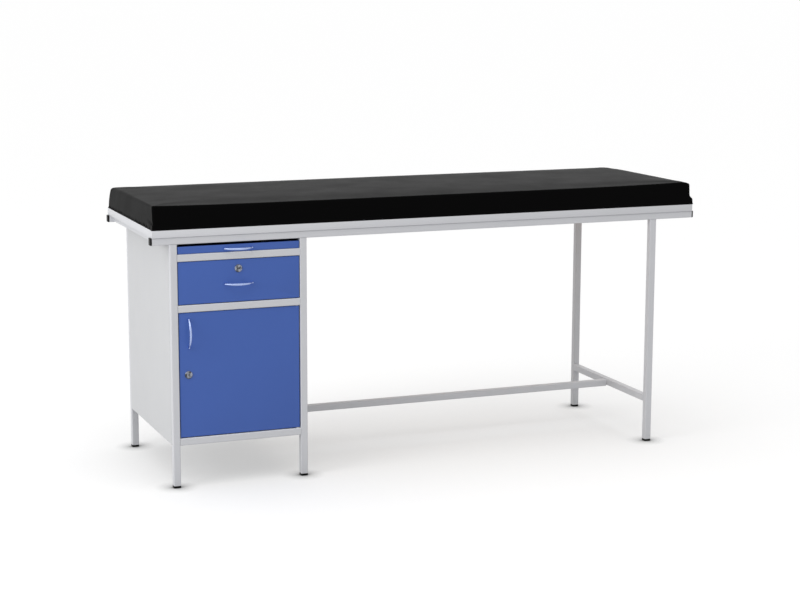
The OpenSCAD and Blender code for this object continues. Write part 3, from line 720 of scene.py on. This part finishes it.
# Lean of the right end and of the rear side over their height
END_LEAN, REAR_LEAN = 2 * MM, 1 * MM
# Height of the right end's hem, and of the step in above it, as shares of the mattress's height
HEM_HEIGHT, HEM_STEP = 0.28, 0.14
# Share of the inset that the hem has too, and its stretch before a corner, over most of which it comes out
HEM_INSET, HEM_CORNER, HEM_RUN = 0.4, 70 * MM, 50 * MM
# How late the right end's fall and the front edge's rise begin
FALL_POWER, LIFT_POWER = 1.4, 5


def crowd(t, power):
    """Draws a grid place from -1 to 1 towards its nearer end, where the form bends."""
    return math.copysign(1 - max(0.0, 1 - abs(t)) ** power, t)


def ease(t):
    """Rises smoothly from 0 to 1 as t does."""
    t = min(1.0, max(0.0, t))
    return t * t * (3 - 2 * t)


def roll_drop(distance, radius):
    """How far a rolled edge lies under the flat top at a distance from the edge."""
    short = min(radius, max(0.0, radius - distance))
    return radius - math.sqrt(radius * radius - short * short)


def shape_pad(bm, lo, hi, size):
    """Turns a gridded block into the mattress at rest: crown, rolled edges, tucked ends, round corners."""
    middle = (lo + hi) / 2
    half = (hi - lo) / 2
    height = hi.z - lo.z
    for v in bm.verts:
        u = crowd((v.co.x - middle.x) / half.x, CROWD_LONG)
        w = crowd((v.co.y - middle.y) / half.y, CROWD_WIDE)
        f = ((v.co.z - lo.z) / height) ** CROWD_HIGH
        to_rear = (1 + w) / 2
        # Outline at this height: the left end leans in, and the right end stands in over its tucked hem
        if u < 0:
            half_l = half.x - size.left_lean * to_rear * f * f
        else:
            at_corner = ease((abs(w) * half.y - half.y + HEM_CORNER) / HEM_RUN)
            hem = size.right_inset * HEM_INSET * (1 - at_corner)
            above = size.right_inset * ease((f - HEM_HEIGHT) / HEM_STEP)
            half_l = half.x + size.right_hem - END_LEAN * f * f - max(hem, above)
        half_w = half.y - (REAR_LEAN * f * f if w > 0 else 0)
        x, y = u * half_l, w * half_w
        # Round corners, seen from above
        over_x = abs(x) - half_l + size.corner
        over_y = abs(y) - half_w + size.corner
        if over_x > 0 and over_y > 0:
            shrink = max(over_x, over_y) / math.hypot(over_x, over_y)
            x = math.copysign(half_l - size.corner + over_x * shrink, x)
            y = math.copysign(half_w - size.corner + over_y * shrink, y)
        # Rolled edges of the top, and its fall towards the rear and the right end
        from_end = (1 - abs(u)) * half_l
        from_side = (1 - abs(w)) * half_w
        end_roll = size.front_roll
        if u < 0:
            end_roll = size.front_roll + (size.left_roll - size.front_roll) * to_rear
        side_roll = size.rear_roll if w > 0 else size.front_roll
        drop = max(roll_drop(from_end, end_roll), roll_drop(from_side, side_roll))
        drop += size.rear_fall * ease(2 * w - 1)
        if u > 0:
            drop += size.right_slope * max(0.0, 1 - from_end / size.slope_run) ** FALL_POWER
        # Crown, and the rise of the front edge towards both ends
        crown = size.crown * (1 - u**4) * (1 - w**4)
        lift = (size.left_lift if u < 0 else size.right_lift) * abs(u) ** LIFT_POWER * (1 - to_rear)
        top = height - size.crown - size.settle + crown + lift - drop
        v.co = Vector((middle.x + x, middle.y + y, lo.z + top * f))


# Last frame of the simulation, and the pressure of the filling
SWELL_FRAMES = 20
FILLING_PRESSURE = 4


def swell_pad(pad, base, most):
    """Lets the filling push the cover outwards as cloth, no further than a limit, with its bottom held."""
    scene = bpy.context.scene
    rest = [v.co.copy() for v in pad.data.vertices]
    held = pad.vertex_groups.new(name="held")
    held.add([i for i, p in enumerate(rest) if p.z < base + ON_PLANE], 1.0, "REPLACE")
    cover = pad.modifiers.new("Filling", "CLOTH")
    cover.settings.vertex_group_mass = held.name
    cover.settings.quality = 3
    cover.settings.effector_weights.gravity = 0
    cover.settings.use_pressure = True
    cover.settings.uniform_pressure_force = FILLING_PRESSURE
    cover.point_cache.frame_end = SWELL_FRAMES
    for step in range(1, SWELL_FRAMES + 1):
        scene.frame_set(step)
    blown = pad.evaluated_get(bpy.context.evaluated_depsgraph_get()).data
    places = []
    for start, v in zip(rest, blown.vertices):
        push = v.co - start
        if push.length > most:
            push *= most / push.length
        places.extend(start + push)
    pad.modifiers.remove(cover)
    pad.vertex_groups.remove(held)
    pad.data.vertices.foreach_set("co", places)
    scene.frame_set(1)


def drift(place, wave, row):
    """Smooth noise along a seam, with a wave's length in millimetres."""
    return noise.noise(Vector((place / (wave * MM), row, 0)))


# Creases fade out from 2 mm to 11 mm behind the left end's surface
CREASE_SKIN, CREASE_FADE = 2 * MM, 9 * MM
# Gathers: their mean height, how far it drifts, and how far from the front corner they are full
GATHER_HEIGHT, GATHER_DRIFT, GATHER_FULL = 14 * MM, 8 * MM, 70 * MM
# Fold: its height at the corner, its climb, its reach below and above, and where it is full and ends
FOLD_HEIGHT, FOLD_CLIMB, FOLD_BELOW, FOLD_ABOVE = 17 * MM, 0.1, 3 * MM, 14 * MM
FOLD_FULL, FOLD_END = 14 * MM, 75 * MM
# Flap: its share of the fold's depth, its width, its height and how far it fades above that
FLAP_SHARE, FLAP_WIDTH, FLAP_HEIGHT, FLAP_FADE = 0.4, 16 * MM, 8 * MM, 16 * MM


def crease_pad(bm, lo, size):
    """Gathers the hem of the left end and folds the cover at the front left corner."""
    for v in bm.verts:
        inward, back, up = v.co - lo
        on_end = ease(1 - (inward - CREASE_SKIN) / CREASE_FADE)
        if not on_end:
            continue
        # Gathers: sharp valleys at uneven distances, of uneven height and depth
        beat = back / size.pucker_gap + 0.9 * drift(back, 60, 0)
        reach = GATHER_HEIGHT + GATHER_DRIFT * drift(back, 31, 3)
        valley = (1 - abs(math.sin(math.pi * beat))) ** 1.5 * (0.75 + 0.6 * drift(back, 24, 7))
        gather = size.pucker * valley * ease(1 - up / reach) * ease(back / GATHER_FULL)
        # Fold: a shallow valley that climbs slowly from the corner
        above = up - FOLD_HEIGHT - FOLD_CLIMB * back
        across = ease(1 + above / FOLD_BELOW) * ease(1 - above / FOLD_ABOVE)
        fold = size.tuck * ease(back / FOLD_FULL) * ease(1 - back / FOLD_END) * across
        # Flap: the tucked corner stands a little proud at its foot
        low = ease(1 - (up - FLAP_HEIGHT) / FLAP_FADE)
        flap = FLAP_SHARE * size.tuck * ease(1 - back / FLAP_WIDTH) * low
        v.co.x += on_end * (gather + fold - flap)


# The lights: direction and spread of the one overhead, and place, aim and size of the lamp, in metres
OVERHEAD_FROM = Vector((-0.15, -0.12, 0.95))
OVERHEAD_SPREAD = math.radians(80)
FILL_PLACE = Vector((-4.4, -1.5, 2.2))
FILL_AIM = Vector((-0.4, 0, 0.5))
FILL_SIZE = 2.6
# The floor: its grey, its radius, and how wide and how strong the two shadows of the object are
FLOOR_GREY = (0.59, 0.59, 0.59, 1)
FLOOR_RADIUS = 200
WIDE_SHADOW, WIDE_SHARE = 0.8, 0.35
CONTACT_SHADOW = 0.06
# The camera: the width of its sensor in millimetres, and how far it sees in metres
SENSOR_WIDTH = 36
SIGHT = 500


def seen_rays(tree):
    """Is 1 where the camera sees a surface, also in a reflection or through glass."""
    path = add_node(tree, "ShaderNodeLightPath")
    seen = path.outputs["Is Camera Ray"]
    for kind in ("Is Glossy Ray", "Is Transmission Ray"):
        either = add_node(tree, "ShaderNodeMath", {0: seen, 1: path.outputs[kind]}, operation="MAXIMUM")
        seen = either.outputs["Value"]
    return seen


def floor_paint(lifted, contact):
    """Matt grey that the object shades, near and far, and that is lifted to white where it is seen."""
    paint = bpy.data.materials.new("floor_paint")
    paint.use_nodes = True
    tree = paint.node_tree
    tree.nodes.clear()
    seen = seen_rays(tree)
    grey = {"Color": FLOOR_GREY, "Distance": WIDE_SHADOW}
    wide = add_node(tree, "ShaderNodeAmbientOcclusion", grey, samples=8)
    soft = add_node(
        tree,
        "ShaderNodeMix",
        {FACTOR: WIDE_SHARE, COLOUR_A: FLOOR_GREY, COLOUR_B: wide.outputs["Color"]},
        data_type="RGBA",
    )
    near = add_node(tree, "ShaderNodeAmbientOcclusion", {"Distance": CONTACT_SHADOW}, samples=16)
    close = add_node(tree, "ShaderNodeMath", {0: near.outputs["AO"], 1: contact}, operation="POWER")
    dark = close.outputs["Value"]
    shaded = add_node(
        tree, "ShaderNodeVectorMath", {0: soft.outputs[MIXED], "Scale": dark}, operation="SCALE"
    )
    matt = add_node(tree, "ShaderNodeBsdfDiffuse", {"Color": shaded.outputs["Vector"]})
    lift = add_node(tree, "ShaderNodeMath", {0: seen, 1: lifted}, operation="MULTIPLY")
    lift = add_node(tree, "ShaderNodeMath", {0: lift.outputs["Value"], 1: dark}, operation="MULTIPLY")
    glow = add_node(tree, "ShaderNodeEmission", {"Strength": lift.outputs["Value"]})
    both = add_node(tree, "ShaderNodeAddShader", {0: matt.outputs["BSDF"], 1: glow.outputs["Emission"]})
    add_node(tree, "ShaderNodeOutputMaterial", {"Surface": both.outputs["Shader"]})
    return paint


def lay_floor(stage):
    """A round floor so wide that its edge is out of sight."""
    bm = bmesh.new()
    bmesh.ops.create_circle(bm, cap_ends=True, segments=96, radius=FLOOR_RADIUS)
    mesh = bpy.data.meshes.new("studio_floor")
    bm.to_mesh(mesh)
    bm.free()
    mesh.materials.append(floor_paint(stage.floor_lift, stage.contact))
    floor = bpy.data.objects.new("studio_floor", mesh)
    bpy.context.scene.collection.objects.link(floor)


def hang_light(name, kind, energy, source, **settings):
    """A light that shines from a direction, with its settings."""
    light = bpy.data.lights.new(name, kind)
    light.energy = energy
    for key, value in settings.items():
        setattr(light, key, value)
    lamp = bpy.data.objects.new(name, light)
    lamp.rotation_euler = source.to_track_quat("Z", "Y").to_euler()
    bpy.context.scene.collection.objects.link(lamp)
    return lamp


def light_world(ambient):
    """An even light all round, which is full white where it is seen."""
    world = bpy.data.worlds.new("studio")
    world.use_nodes = True
    tree = world.node_tree
    tree.nodes.clear()
    ends = {"Value": seen_rays(tree), "To Min": ambient, "To Max": 1.0}
    strength = add_node(tree, "ShaderNodeMapRange", ends)
    white = {"Color": (1, 1, 1, 1), "Strength": strength.outputs["Result"]}
    sky = add_node(tree, "ShaderNodeBackground", white)
    add_node(tree, "ShaderNodeOutputWorld", {"Surface": sky.outputs["Background"]})
    bpy.context.scene.world = world


def place_camera(stage):
    """The camera at the photograph's viewing angle."""
    data = bpy.data.cameras.new("camera")
    data.lens = stage.lens
    data.sensor_width = SENSOR_WIDTH
    data.clip_end = SIGHT
    camera = bpy.data.objects.new("camera", data)
    camera.location = stage.camera_place
    camera.rotation_euler = stage.camera_turn
    bpy.context.scene.collection.objects.link(camera)
    bpy.context.scene.camera = camera


class EXAMTABLE_OT_stage(Operator):
    """Sets the floor, the lights, the world and the camera"""

    bl_idname = "exam_table.stage"
    bl_label = "Stage"

    def execute(self, context):
        stage = context.scene.exam_table_stage
        context.scene.view_settings.view_transform = "Standard"
        lay_floor(stage)
        hang_light("overhead_light", "SUN", stage.overhead, OVERHEAD_FROM, angle=OVERHEAD_SPREAD)
        beam = FILL_PLACE - FILL_AIM
        lamp = hang_light("fill_light", "AREA", stage.fill, beam, shape="DISK", size=FILL_SIZE)
        lamp.location = FILL_PLACE
        light_world(stage.ambient)
        place_camera(stage)
        return {"FINISHED"}


STEPS = (
    EXAMTABLE_OT_finishes,
    EXAMTABLE_OT_welds,
    EXAMTABLE_OT_angles,
    EXAMTABLE_OT_caps,
    EXAMTABLE_OT_fronts,
    EXAMTABLE_OT_handles,
    EXAMTABLE_OT_locks,
    EXAMTABLE_OT_mattress,
    EXAMTABLE_OT_stage,
)
SETTINGS = {
    "exam_table_finishes": ExamTableFinishes,
    "exam_table_steel": ExamTableSteel,
    "exam_table_mattress": ExamTableMattress,
    "exam_table_stage": ExamTableStage,
}


class EXAMTABLE_PT_steps(Panel):
    """Lists the steps, and the settings that they read"""

    bl_idname = "EXAMTABLE_PT_steps"
    bl_label = "Examination table"
    bl_space_type = "VIEW_3D"
    bl_region_type = "UI"
    bl_category = "Exam Table"

    def draw(self, context):
        for step in STEPS:
            self.layout.operator(step.bl_idname)
        for name, group in SETTINGS.items():
            column = self.layout.column()
            for key in group.__annotations__:
                column.prop(getattr(context.scene, name), key)


def register():
    """Adds the settings, the steps and the panel to Blender."""
    for group in SETTINGS.values():
        bpy.utils.register_class(group)
    for name, group in SETTINGS.items():
        setattr(bpy.types.Scene, name, PointerProperty(type=group))
    for step in STEPS:
        bpy.utils.register_class(step)
    bpy.utils.register_class(EXAMTABLE_PT_steps)


def unregister():
    """Takes out what register added."""
    bpy.utils.unregister_class(EXAMTABLE_PT_steps)
    for step in reversed(STEPS):
        bpy.utils.unregister_class(step)
    for name, group in SETTINGS.items():
        delattr(bpy.types.Scene, name)
        bpy.utils.unregister_class(group)


def main():
    """Dresses the frame."""
    register()
    bpy.ops.exam_table.finishes()
    bpy.ops.exam_table.welds()
    bpy.ops.exam_table.angles()
    bpy.ops.exam_table.caps()
    bpy.ops.exam_table.fronts()
    bpy.ops.exam_table.handles()
    bpy.ops.exam_table.locks()
    bpy.ops.exam_table.mattress()
    bpy.ops.exam_table.stage()


if __name__ == "__main__":
    main()
